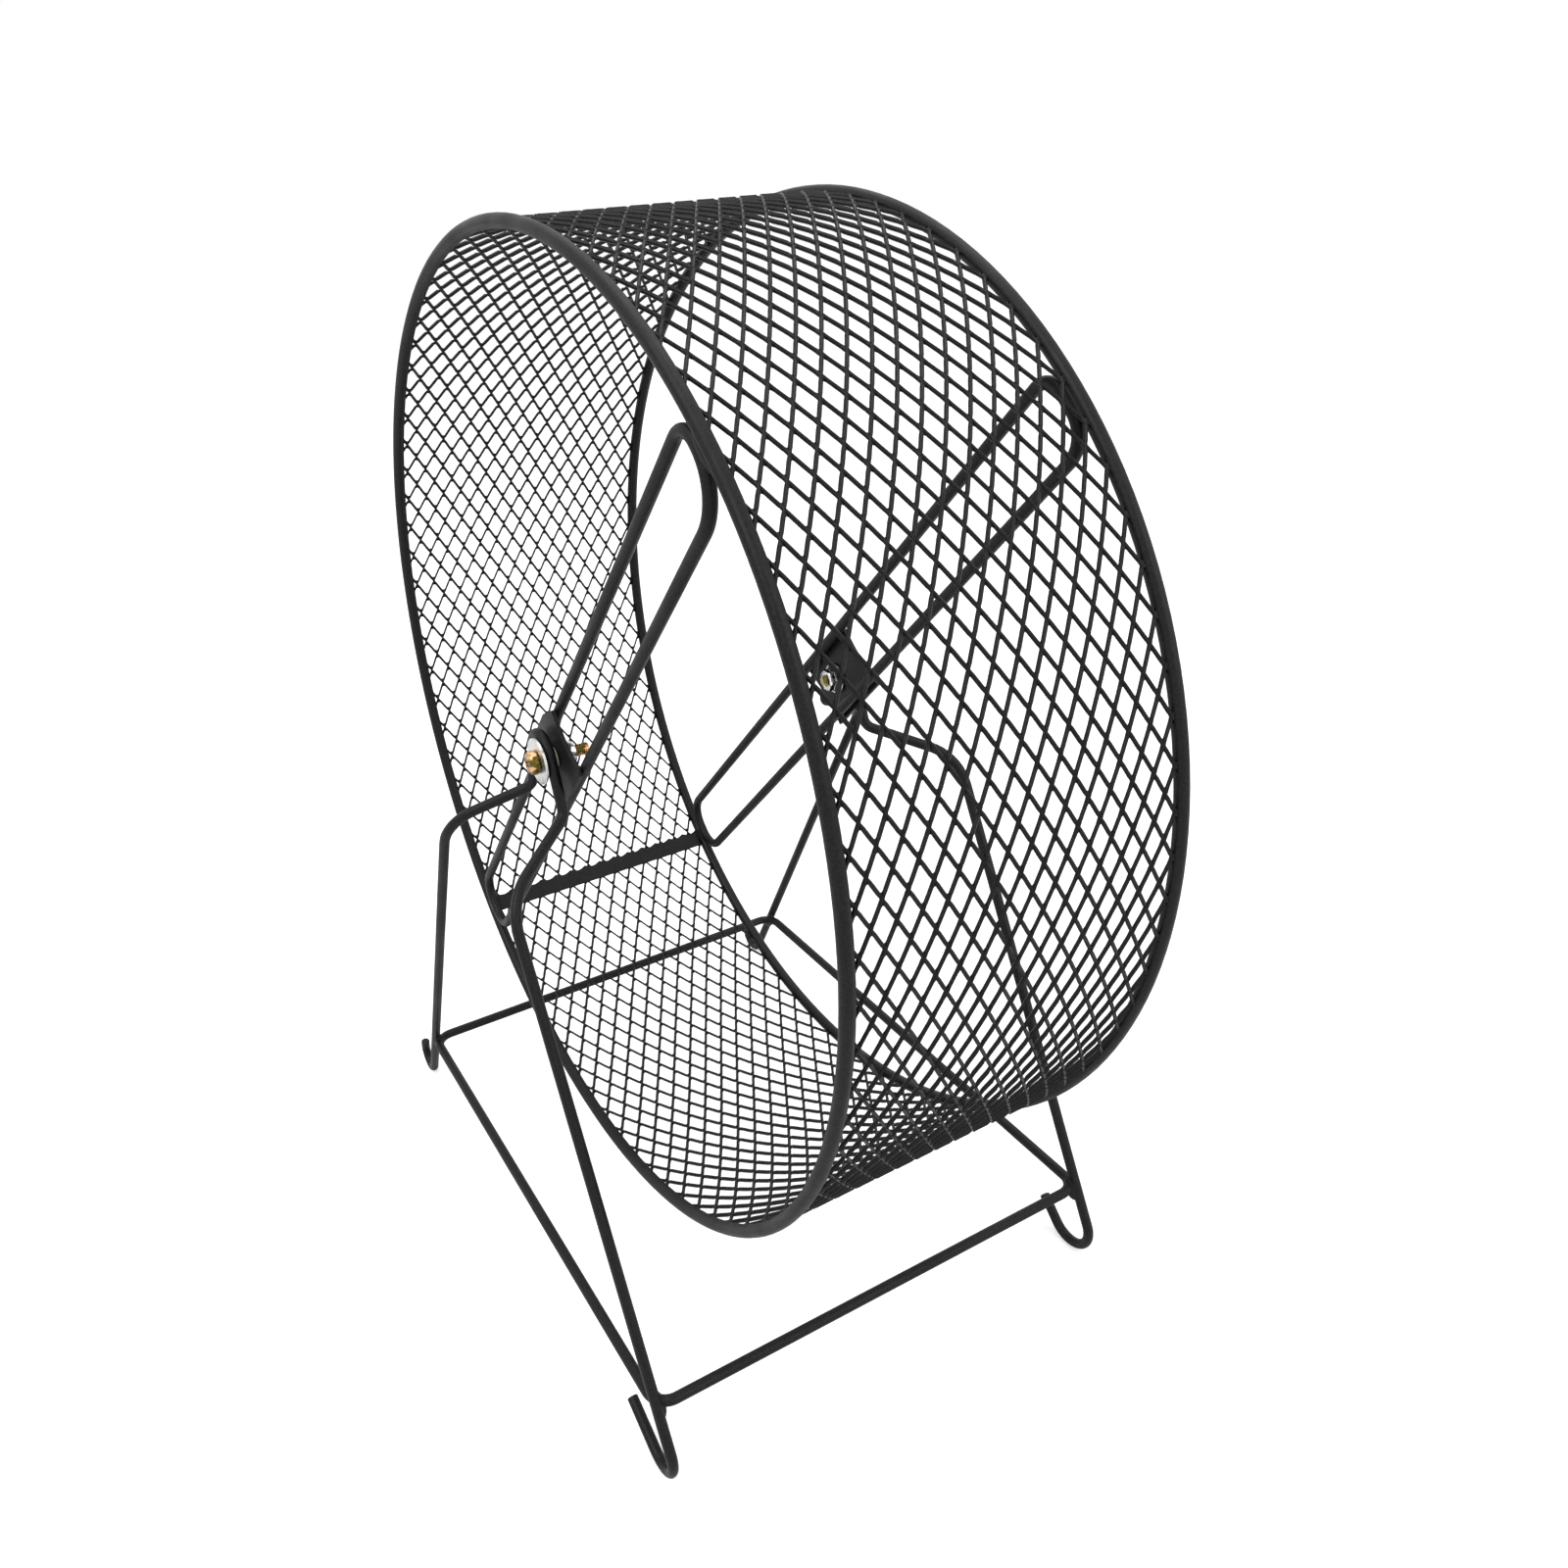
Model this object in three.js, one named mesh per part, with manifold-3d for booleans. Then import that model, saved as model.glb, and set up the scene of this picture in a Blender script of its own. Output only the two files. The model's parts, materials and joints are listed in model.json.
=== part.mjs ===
// Hamster wheel on a wire stand: an expanded-metal drum between two wire rims, hung on
// two screws that turn in the arches of the stand. Millimetres, +Z up.
// The origin lies on the floor under the middle of the axle, the axle runs along Y, and
// the front is the side of -Y.

import * as THREE from 'three';
import * as BufferGeometryUtils from 'three/addons/utils/BufferGeometryUtils.js';
import Module from 'manifold-3d';

const wasm = await Module();
wasm.setup();

// Clearance between pieces that touch or are welded on the real object
const seatGap = 0.3;

// Drum
const rimRadius = 138.2;
const rimWire = 3.6;
const drumWidth = 90.5;
const meshThickness = 1.2;
const meshStrand = 2.2;
const meshColumns = 28;
const meshRows = 5;
const strapWidth = 6.6;
const strapThickness = 1;
const strapAngle = THREE.MathUtils.degToRad(-132.6);
const scallopPitch = 6.1;
const scallopDepth = 1;

// Spoke loops, one flat closed wire on each side of the drum
const spokeWire = 3.2;
const loopWidth = 19;
const loopCornerRadius = 8;
const frontLoopLean = THREE.MathUtils.degToRad(42);
const rearLoopLean = THREE.MathUtils.degToRad(43.7);

// Hub plates, welded on the outside of the spoke loops
const plateThickness = 1.2;
const plateOverhang = 0.8;
const plateHollow = 1.4;
const plateCornerAcross = 2.7;
const plateCornerAlong = 7.3;
const frontPlateLeftLow = -11;
const frontPlateRightLow = -7.5;
const frontPlateLeftHigh = 11;
const frontPlateRightHigh = 11.5;
const rearPlateLeftLow = -14;
const rearPlateRightLow = -10;
const rearPlateLeftHigh = 15;
const rearPlateRightHigh = 18.5;

// Hub hardware
const screwDiameter = 3.5;
const frontScrewLength = 16;
const rearScrewLength = 12;
const screwHeadDiameter = 7;
const screwHeadHeight = 2.6;
const screwHeadEdge = 1.2;
const washerThickness = 0.8;
const outerWasherDiameter = 13.5;
const innerWasherDiameter = 9.5;
const nutAcrossFlats = 6;
const nutHeight = 2.8;
const bushFlangeDiameter = 10.8;
const bushFlangeThickness = 0.8;

// Stand
const standWire = 3.2;
const archRadius = 6.5;
const archLeftFootSpread = 12.5;
const archRightFootSpread = 9.4;
const archFootDrop = 14;
const archFootBendRadius = 4.5;
const shoulderSpread = 25.8;
const shoulderDrop = 25;
const shoulderReach = 24.4;
const shoulderBendRadius = 18;
const ringLength = 185.4;
const ringBelowDrum = 10;
const hookDrop = 23.6;
const footFlatDepth = 0.3;

// Hooks: the left ones are cut short, the right ones end in straight tips that differ
const leftHookBendRadius = 5;
const leftTipLength = 2.6;
const leftTipRise = THREE.MathUtils.degToRad(80);
const rightHookBendRadius = 8;
const frontRightTipLength = 16;
const frontRightTipRise = THREE.MathUtils.degToRad(28);
const rearRightTipLength = 8;
const rearRightTipRise = THREE.MathUtils.degToRad(45);

// Facets
const wireSides = 8;
const rimSegments = 72;
const roundSegments = 20;
const bendStep = THREE.MathUtils.degToRad(18);

// Overrun of every cutting solid
const cutOverrun = 5;

// Places of the stack along the axle, as distances from the middle of the drum
const rimPlane = drumWidth / 2;
const loopPlane = rimPlane;
const plateInner = loopPlane + spokeWire / 2 + seatGap;
const plateOuter = plateInner + plateThickness;
const bushInner = plateOuter + seatGap;
const archPlane = bushInner + bushFlangeThickness + seatGap + standWire / 2;
const bushOuter = archPlane + standWire / 2;
const outerWasherInner = bushOuter + seatGap;
const headInner = outerWasherInner + washerThickness + seatGap;
const innerWasherInner = plateInner - seatGap - washerThickness;
const nutInner = innerWasherInner - seatGap - nutHeight;
const legPlane = archPlane + shoulderReach;

// How far a straight side of the arch leans out from its round top
function archLean(footSpread) {
  return Math.acos(archRadius / Math.hypot(footSpread, archFootDrop)) - Math.atan2(archFootDrop, footSpread);
}

const archLeftLean = archLean(archLeftFootSpread);
const archRightLean = archLean(archRightFootSpread);

// Heights, as drops below the axle
const ringDrop = rimRadius + rimWire / 2 + ringBelowDrum + standWire / 2;
const footDrop = ringDrop + hookDrop;
const axleHeight = footDrop + standWire / 2 - footFlatDepth;

// The legs run straight from the shoulders through the corners of the base ring
const legRun = ringLength / 2 - shoulderSpread;
const legFall = ringDrop - shoulderDrop;
const legLean = Math.atan2(legRun, legFall);

const boreRadius = screwDiameter / 2 + seatGap;

// Finishes
const blackCoat = { color: 0x28282a, roughness: 0.5, metalness: 0.2 };
const yellowZinc = { color: 0xb8944f, roughness: 0.35, metalness: 1 };
const brightZinc = { color: 0xc4c5c4, roughness: 0.35, metalness: 1 };
const paleNylon = { color: 0xd9d8d2, roughness: 0.6, metalness: 0 };

function piece(name, geometry, finish) {
  const mesh = new THREE.Mesh(geometry, new THREE.MeshStandardMaterial(finish));
  mesh.name = name;
  return mesh;
}

// Closed solids and cuts

function solidOf(geometry) {
  const bare = geometry.clone();
  bare.deleteAttribute('normal');
  bare.deleteAttribute('uv');
  const merged = BufferGeometryUtils.mergeVertices(bare);
  return new wasm.Manifold(new wasm.Mesh({
    numProp: 3,
    vertProperties: Float32Array.from(merged.attributes.position.array),
    triVerts: Uint32Array.from(merged.index.array),
  }));
}

function geometryOf(solid) {
  const mesh = solid.getMesh();
  const geometry = new THREE.BufferGeometry();
  geometry.setAttribute('position', new THREE.BufferAttribute(mesh.vertProperties, mesh.numProp));
  geometry.setIndex(new THREE.BufferAttribute(mesh.triVerts, 1));
  return geometry;
}

// Wires: a round section with flats, carried along a line of stations

function bisector(before, point, after) {
  const arriving = point.clone().sub(before).normalize();
  const leaving = after.clone().sub(point).normalize();
  return arriving.add(leaving).normalize();
}

function wireAlong(stations, diameter, startNormal, closed = false) {
  const last = stations.length - 1;
  const positions = [];
  const faces = [];
  const normal = startNormal.clone();
  stations.forEach((point, i) => {
    const before = i > 0 ? stations[i - 1] : closed ? stations[last] : null;
    const after = i < last ? stations[i + 1] : closed ? stations[0] : null;
    const tangent = before && after
      ? bisector(before, point, after)
      : (after ?? point).clone().sub(before ?? point).normalize();
    normal.addScaledVector(tangent, -normal.dot(tangent)).normalize();
    const across = tangent.clone().cross(normal);
    for (let side = 0; side < wireSides; side += 1) {
      const turn = (side / wireSides) * 2 * Math.PI;
      const corner = point.clone()
        .addScaledVector(normal, Math.cos(turn) * diameter / 2)
        .addScaledVector(across, Math.sin(turn) * diameter / 2);
      positions.push(corner.x, corner.y, corner.z);
    }
  });
  const spans = closed ? stations.length : last;
  for (let i = 0; i < spans; i += 1) {
    const here = i * wireSides;
    const next = ((i + 1) % stations.length) * wireSides;
    for (let side = 0; side < wireSides; side += 1) {
      const turned = (side + 1) % wireSides;
      faces.push(here + side, here + turned, next + turned);
      faces.push(here + side, next + turned, next + side);
    }
  }
  if (!closed) {
    const end = last * wireSides;
    for (let side = 1; side < wireSides - 1; side += 1) {
      faces.push(0, side + 1, side);
      faces.push(end, end + side, end + side + 1);
    }
  }
  const geometry = new THREE.BufferGeometry();
  geometry.setAttribute('position', new THREE.Float32BufferAttribute(positions, 3));
  geometry.setIndex(faces);
  return geometry;
}

// Stations of a round bend at a corner between two straight runs
function bendAt(before, corner, after, radius) {
  const arriving = corner.clone().sub(before).normalize();
  const leaving = after.clone().sub(corner).normalize();
  const turn = arriving.angleTo(leaving);
  const inward = leaving.clone().sub(arriving).normalize();
  const centre = corner.clone().addScaledVector(inward, radius / Math.cos(turn / 2));
  const axis = arriving.clone().cross(leaving).normalize();
  const start = corner.clone().addScaledVector(arriving, -radius * Math.tan(turn / 2)).sub(centre);
  const steps = Math.max(2, Math.ceil(turn / bendStep));
  const stations = [];
  for (let i = 0; i <= steps; i += 1) {
    stations.push(start.clone().applyAxisAngle(axis, (turn * i) / steps).add(centre));
  }
  return stations;
}

// A flat closed wire with four round corners, in the plane of the two given directions
function roundedLoop(halfAlong, halfAcross, radius, along, across) {
  const corners = [[1, 1], [-1, 1], [-1, -1], [1, -1]].map(([a, b]) => new THREE.Vector3()
    .addScaledVector(along, a * halfAlong)
    .addScaledVector(across, b * halfAcross));
  return corners.flatMap((corner, i) => bendAt(corners[(i + 3) % 4], corner, corners[(i + 1) % 4], radius));
}

// Stand

// Bend radius and straight tip of one hook
function hookSizes(side, y) {
  if (side < 0) {
    return [leftHookBendRadius, leftTipLength, leftTipRise];
  }
  return y < 0
    ? [rightHookBendRadius, frontRightTipLength, frontRightTipRise]
    : [rightHookBendRadius, rearRightTipLength, rearRightTipRise];
}

// Stations of one hook, from the end of its leg to its tip. The hooks of both legs curl
// towards -X: the right one turns back under the stand, the left one away from it.
function hookStations(side, y) {
  const [hookBendRadius, tipLength, tipRise] = hookSizes(side, y);
  const heading = side * legLean - Math.PI / 2;
  const tipHeading = -Math.PI - tipRise;
  const startDrop = footDrop - hookBendRadius * (1 + side * Math.sin(legLean));
  const startX = side * (shoulderSpread + (startDrop - shoulderDrop) * Math.tan(legLean));
  const centre = new THREE.Vector3(
    startX - hookBendRadius * Math.cos(legLean),
    y,
    axleHeight - footDrop + hookBendRadius,
  );
  const turn = heading - tipHeading;
  const steps = Math.ceil(turn / bendStep);
  const stations = [];
  for (let i = 0; i <= steps; i += 1) {
    const angle = heading - (turn * i) / steps;
    stations.push(centre.clone().add(new THREE.Vector3(
      -Math.sin(angle) * hookBendRadius,
      0,
      Math.cos(angle) * hookBendRadius,
    )));
  }
  stations.push(stations.at(-1).clone().add(new THREE.Vector3(
    -Math.cos(tipRise) * tipLength,
    0,
    Math.sin(tipRise) * tipLength,
  )));
  return stations;
}

// Half of one end frame's wire, from beside the top of its arch to the tip of its hook
function halfFrame(side, y) {
  const point = (spread, depth, drop) => new THREE.Vector3(side * spread, y * depth, axleHeight - drop);
  const footSpread = side < 0 ? archLeftFootSpread : archRightFootSpread;
  const lean = archLean(footSpread);
  const archSide = point(archRadius * Math.cos(lean), archPlane, -archRadius * Math.sin(lean));
  const archFoot = point(footSpread, archPlane, archFootDrop);
  const shoulder = point(shoulderSpread, legPlane, shoulderDrop);
  const ringCorner = point(ringLength / 2, legPlane, ringDrop);
  return [
    ...bendAt(archSide, archFoot, shoulder, archFootBendRadius),
    ...bendAt(archFoot, shoulder, ringCorner, shoulderBendRadius),
    ...hookStations(side, y * legPlane),
  ];
}

function archStations(y) {
  const sweep = Math.PI - archLeftLean - archRightLean;
  const steps = Math.ceil(sweep / bendStep);
  const stations = [];
  for (let i = 0; i <= steps; i += 1) {
    const angle = Math.PI - archLeftLean - (sweep * i) / steps;
    stations.push(new THREE.Vector3(
      Math.cos(angle) * archRadius,
      y * archPlane,
      axleHeight + Math.sin(angle) * archRadius,
    ));
  }
  return stations;
}

// The bottom of each hook is flat where it stands on the floor
function endFrame(y) {
  const stations = [
    ...halfFrame(-1, y).reverse(),
    ...archStations(y),
    ...halfFrame(1, y),
  ];
  const wire = wireAlong(stations, standWire, new THREE.Vector3(0, 1, 0));
  const floor = new THREE.BoxGeometry(
    2 * (ringLength + cutOverrun),
    2 * (legPlane + standWire + cutOverrun),
    cutOverrun,
  );
  floor.translate(0, 0, -cutOverrun / 2);
  return geometryOf(solidOf(wire).subtract(solidOf(floor)));
}

// The ring lies inside the legs, which pass its round corners on the outside
function baseRing() {
  const cornerRadius = (standWire + seatGap) / (Math.SQRT2 - 1) / Math.cos(legLean);
  const stations = roundedLoop(
    ringLength / 2,
    legPlane,
    cornerRadius,
    new THREE.Vector3(1, 0, 0),
    new THREE.Vector3(0, 1, 0),
  );
  return wireAlong(stations, standWire, new THREE.Vector3(0, 0, 1), true);
}

// Drum

function rim() {
  const geometry = new THREE.TorusGeometry(rimRadius, rimWire / 2, wireSides, rimSegments);
  geometry.rotateX(Math.PI / 2);
  return geometry;
}

// Four corners round one bond of the mesh, as angle and place along the axle
function bondCorners(row, column) {
  const halfWidth = rimPlane - rimWire / 2 - seatGap;
  const angleStep = Math.PI / meshColumns;
  const run = rimRadius * angleStep;
  const rise = halfWidth / meshRows;
  const strandLength = Math.hypot(run, rise);
  const alongReach = (meshStrand / 2) * strandLength / rise / rimRadius;
  const acrossReach = (meshStrand / 2) * strandLength / run;
  const angle = (2 * column + (row % 2)) * angleStep;
  const y = row * rise - halfWidth;
  return {
    left: [angle - alongReach, y],
    right: [angle + alongReach, y],
    low: [angle, y - acrossReach],
    high: [angle, y + acrossReach],
  };
}

// Expanded metal rolled into a band: strands between staggered rows of bonds. A face
// lists its corners counter-clockwise in angle and place along the axle.
function meshBand() {
  const positions = [];
  const onRadius = ([angle, y], radius) => [Math.cos(angle) * radius, y, Math.sin(angle) * radius];
  const outer = rimRadius + meshThickness / 2;
  const inner = rimRadius - meshThickness / 2;
  const fan = (corners) => {
    for (let i = 1; i < corners.length - 1; i += 1) {
      positions.push(...corners[0], ...corners[i], ...corners[i + 1]);
    }
  };
  const face = (corners) => {
    fan(corners.map((corner) => onRadius(corner, outer)).reverse());
    fan(corners.map((corner) => onRadius(corner, inner)));
  };
  const wall = (from, to) => fan([
    onRadius(from, outer),
    onRadius(to, outer),
    onRadius(to, inner),
    onRadius(from, inner),
  ]);
  const lastRow = 2 * meshRows;
  for (let row = 0; row <= lastRow; row += 1) {
    for (let column = 0; column < meshColumns; column += 1) {
      const bond = bondCorners(row, column);
      if (row === 0) {
        face([bond.left, bond.right, bond.high]);
        wall(bond.left, bond.right);
      } else if (row === lastRow) {
        face([bond.left, bond.low, bond.right]);
        wall(bond.right, bond.left);
      } else {
        face([bond.left, bond.low, bond.right, bond.high]);
      }
      if (row < lastRow) {
        const shift = row % 2;
        const right = bondCorners(row + 1, column + shift);
        const left = bondCorners(row + 1, column + shift - 1);
        face([bond.right, right.low, right.left, bond.high]);
        wall(bond.right, right.low);
        wall(right.left, bond.high);
        face([bond.high, left.right, left.low, bond.left]);
        wall(bond.high, left.right);
        wall(left.low, bond.left);
      }
    }
  }
  const geometry = new THREE.BufferGeometry();
  geometry.setAttribute('position', new THREE.Float32BufferAttribute(positions, 3));
  return geometry;
}

// Flat strip inside the drum, over the seam of the mesh, with one scalloped edge
function seamStrap() {
  const halfLength = rimPlane - rimWire / 2 - seatGap;
  const scallops = Math.round((2 * halfLength) / scallopPitch);
  const pitch = (2 * halfLength) / scallops;
  const outline = new THREE.Shape();
  outline.moveTo(-strapWidth / 2, -halfLength);
  outline.lineTo(-strapWidth / 2, halfLength);
  outline.lineTo(strapWidth / 2, halfLength);
  for (let i = 1; i <= scallops; i += 1) {
    const y = halfLength - i * pitch;
    outline.quadraticCurveTo(strapWidth / 2 - 2 * scallopDepth, y + pitch / 2, strapWidth / 2, y);
  }
  const geometry = new THREE.ExtrudeGeometry(outline, {
    depth: strapThickness,
    bevelEnabled: false,
    curveSegments: 3,
  });
  const chordShare = Math.cos(Math.PI / meshColumns / 2);
  const meshInner = (rimRadius - meshThickness / 2) * chordShare;
  geometry.translate(0, 0, meshInner - seatGap - strapThickness);
  geometry.rotateY(Math.PI / 2 - strapAngle);
  return geometry;
}

// The ends of the loop meet the inner side of the rim
function spokeLoop() {
  const halfWidth = loopWidth / 2;
  const reach = rimRadius - rimWire / 2 - seatGap - spokeWire / 2 - loopCornerRadius;
  const halfLength = loopCornerRadius + Math.sqrt(reach ** 2 - (halfWidth - loopCornerRadius) ** 2);
  const stations = roundedLoop(
    halfLength,
    halfWidth,
    loopCornerRadius,
    new THREE.Vector3(0, 0, 1),
    new THREE.Vector3(1, 0, 0),
  );
  return wireAlong(stations, spokeWire, new THREE.Vector3(0, 1, 0), true);
}

// Hub

// Centred on its own thickness, which lies along the axle
function flatAcrossAxle(outline, thickness) {
  const bore = new THREE.Path();
  bore.absarc(0, 0, boreRadius, 0, 2 * Math.PI, true);
  outline.holes.push(bore);
  const geometry = new THREE.ExtrudeGeometry(outline, {
    depth: thickness,
    bevelEnabled: false,
    curveSegments: roundSegments / 2,
  });
  geometry.translate(0, 0, -thickness / 2);
  geometry.rotateX(Math.PI / 2);
  return geometry;
}

// Both ends of the plate are hollow, and its upper left corner is cut off
function hubPlate(leftLow, rightLow, leftHigh, rightHigh) {
  const half = loopWidth / 2 + spokeWire / 2 + plateOverhang;
  const cutStart = plateCornerAcross - half;
  const outline = new THREE.Shape();
  outline.moveTo(-half, leftLow);
  outline.quadraticCurveTo(0, (leftLow + rightLow) / 2 + 2 * plateHollow, half, rightLow);
  outline.lineTo(half, rightHigh);
  outline.quadraticCurveTo(0, (leftHigh + rightHigh) / 2 - 2 * plateHollow, cutStart, leftHigh);
  outline.lineTo(-half, leftHigh - plateCornerAlong);
  outline.closePath();
  return flatAcrossAxle(outline, plateThickness);
}

function washer(diameter) {
  const outline = new THREE.Shape();
  outline.absarc(0, 0, diameter / 2, 0, 2 * Math.PI, false);
  return flatAcrossAxle(outline, washerThickness);
}

function hexNut() {
  const cornerRadius = nutAcrossFlats / Math.sqrt(3);
  const corners = Array.from({ length: 6 }, (_, i) => new THREE.Vector2(
    Math.cos((i * Math.PI) / 3) * cornerRadius,
    Math.sin((i * Math.PI) / 3) * cornerRadius,
  ));
  return flatAcrossAxle(new THREE.Shape(corners), nutHeight);
}

// Turned round the axle, from its inner face at zero towards the outside
function turned(profile) {
  return new THREE.LatheGeometry(profile.map(([r, y]) => new THREE.Vector2(r, y)), roundSegments);
}

// A flange between the hub plate and the arch, and a sleeve that the arch rides on
function hubBush() {
  const sleeveRadius = archRadius - standWire / 2 - seatGap;
  return turned([
    [boreRadius, 0],
    [bushFlangeDiameter / 2, 0],
    [bushFlangeDiameter / 2, bushFlangeThickness],
    [sleeveRadius, bushFlangeThickness],
    [sleeveRadius, bushOuter - bushInner],
    [boreRadius, bushOuter - bushInner],
    [boreRadius, 0],
  ]);
}

function hubScrew(length) {
  const headRadius = screwHeadDiameter / 2;
  return turned([
    [0, -length],
    [screwDiameter / 2, -length],
    [screwDiameter / 2, 0],
    [headRadius, 0],
    [headRadius, screwHeadEdge],
    [screwDiameter / 2, screwHeadHeight],
    [0, screwHeadHeight],
  ]);
}

// Assembly

const part = new THREE.Group();
const wheel = new THREE.Group();
wheel.position.z = axleHeight;
part.add(wheel);

const ring = piece('base_ring', baseRing(), blackCoat);
ring.position.z = axleHeight - ringDrop;
part.add(ring);

wheel.add(piece('mesh_band', meshBand(), blackCoat));
wheel.add(piece('seam_strap', seamStrap(), blackCoat));

for (const [name, side, loopLean] of [['front', -1, frontLoopLean], ['rear', 1, rearLoopLean]]) {
  part.add(piece(`${name}_end_frame`, endFrame(side), blackCoat));

  const across = (geometry, label, finish, distance) => {
    const mesh = piece(`${name}_${label}`, geometry, finish);
    mesh.position.y = side * distance;
    wheel.add(mesh);
    return mesh;
  };
  across(rim(), 'rim', blackCoat, rimPlane);
  across(spokeLoop(), 'spoke_loop', blackCoat, loopPlane).rotation.y = loopLean;
  const plate = side < 0
    ? hubPlate(frontPlateLeftLow, frontPlateRightLow, frontPlateLeftHigh, frontPlateRightHigh)
    : hubPlate(rearPlateLeftLow, rearPlateRightLow, rearPlateLeftHigh, rearPlateRightHigh);
  across(plate, 'hub_plate', blackCoat, plateInner + plateThickness / 2).rotation.y = loopLean;

  const outerWasher = outerWasherInner + washerThickness / 2;
  const innerWasher = innerWasherInner + washerThickness / 2;
  across(washer(outerWasherDiameter), 'outer_washer', brightZinc, outerWasher);
  across(washer(innerWasherDiameter), 'inner_washer', brightZinc, innerWasher);
  across(hexNut(), 'hex_nut', brightZinc, nutInner + nutHeight / 2);

  // Turned pieces are made for the rear, and half a turn about Z faces them to the front
  const facing = side < 0 ? Math.PI : 0;
  across(hubBush(), 'hub_bush', paleNylon, bushInner).rotation.z = facing;
  const screwLength = side < 0 ? frontScrewLength : rearScrewLength;
  across(hubScrew(screwLength), 'hub_screw', yellowZinc, headInner).rotation.z = facing;
}

export default part;
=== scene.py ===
"""Hamster wheel on a wire stand: the looks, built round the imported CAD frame.

Metres, +Z up, the axle along Y, the front of the wheel on the side of -Y.
"""

import json
import logging
from collections.abc import Callable
from dataclasses import dataclass
from enum import Enum
from math import acos, atan2, ceil, cos, hypot, pi, radians, sin, sqrt, tan

import bpy
from mathutils import Matrix, Quaternion, Vector


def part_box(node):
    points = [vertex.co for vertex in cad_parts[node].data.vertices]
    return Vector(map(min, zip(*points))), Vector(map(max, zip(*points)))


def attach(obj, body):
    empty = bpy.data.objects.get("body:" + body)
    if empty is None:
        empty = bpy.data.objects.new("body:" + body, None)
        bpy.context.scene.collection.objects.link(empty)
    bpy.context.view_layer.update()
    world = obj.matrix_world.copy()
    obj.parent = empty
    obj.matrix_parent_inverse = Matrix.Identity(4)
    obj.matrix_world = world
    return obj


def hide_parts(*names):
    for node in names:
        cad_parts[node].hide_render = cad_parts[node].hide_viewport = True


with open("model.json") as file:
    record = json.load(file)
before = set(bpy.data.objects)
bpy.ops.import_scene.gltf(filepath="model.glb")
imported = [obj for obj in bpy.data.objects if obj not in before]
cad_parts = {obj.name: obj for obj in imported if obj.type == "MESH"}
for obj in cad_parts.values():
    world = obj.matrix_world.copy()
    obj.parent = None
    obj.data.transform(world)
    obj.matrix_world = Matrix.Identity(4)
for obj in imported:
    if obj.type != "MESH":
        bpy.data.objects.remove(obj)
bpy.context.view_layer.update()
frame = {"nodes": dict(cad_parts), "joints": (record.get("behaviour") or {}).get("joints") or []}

LOG = logging.getLogger("hamster_wheel")
MM = 0.001
SAME_POINT = 0.001 * MM
TOUCHING = 0.01 * MM
ROUND_EDGE = radians(40)
HARDWARE_EDGE = radians(35)

Piece = bpy.types.Object
Node = bpy.types.Node
Tree = bpy.types.NodeTree
Colour = tuple[float, float, float]
Profile = list[tuple[float, float]]


class Side(Enum):
    """The two ends of the axle, with the sign of their Y."""

    FRONT = -1
    REAR = 1

    @property
    def label(self) -> str:
        """The word that starts the names of this end's nodes."""
        return self.name.lower()


class Body(Enum):
    """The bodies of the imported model."""

    STAND = "stand"
    WHEEL = "wheel"


class Finish(Enum):
    """The finishes, each with its material's name and the record's slot."""

    COAT = ("powder_coat_black", "powder_coat")
    COPPERY = ("zinc_yellow_coppery", "yellow_zinc")
    OLIVE = ("zinc_yellow_olive", "yellow_zinc")
    RECESS = ("zinc_yellow_in_recess", "yellow_zinc")
    BRIGHT = ("zinc_bright", "bright_zinc")
    PATCHY = ("zinc_bright_patchy", "bright_zinc")
    DULL_FACE = ("zinc_bright_dull_face", "bright_zinc")
    NYLON = ("nylon_pale", "pale_nylon")

    @property
    def material(self) -> str:
        """The material's name."""
        return self.value[0]

    @property
    def slot(self) -> str:
        """The record's slot."""
        return self.value[1]


def axle_centre() -> Vector:
    """The middle of the axle, from the wheel's joint."""
    return Vector(frame["joints"][0]["pos_m"])


def by_axle(side: Side, distance: float, out: float = 0) -> Vector:
    """A point at a distance from the drum's middle, on the axle or out from it along +X."""
    return axle_centre() + Vector((out, side.value * distance, 0))


# Workshop steps


def add_object(name: str, data: bpy.types.ID | None) -> Piece:
    """Puts a camera, a lamp or an empty pivot into the scene.

    Args:
        name: The object's name.
        data: What it holds.

    Returns:
        The object.
    """
    item = bpy.data.objects.new(name, data)
    bpy.context.scene.collection.objects.link(item)
    return item


def named_active(name: str) -> Piece:
    """Names the active object and its mesh.

    Args:
        name: The piece's name.

    Returns:
        The active object.
    """
    piece = bpy.context.view_layer.objects.active
    piece.name = name
    piece.data.name = name
    return piece


def make_active(piece: Piece) -> None:
    """Selects one object alone and makes it active.

    Args:
        piece: The object.
    """
    bpy.ops.object.select_all(action="DESELECT")
    piece.select_set(True)
    bpy.context.view_layer.objects.active = piece


def edit_all() -> None:
    """Opens the active object in edit mode with all of it selected."""
    bpy.ops.object.mode_set(mode="EDIT")
    bpy.ops.mesh.select_all(action="SELECT")


def leave_edit() -> None:
    """Goes back to object mode."""
    bpy.ops.object.mode_set(mode="OBJECT")


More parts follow.
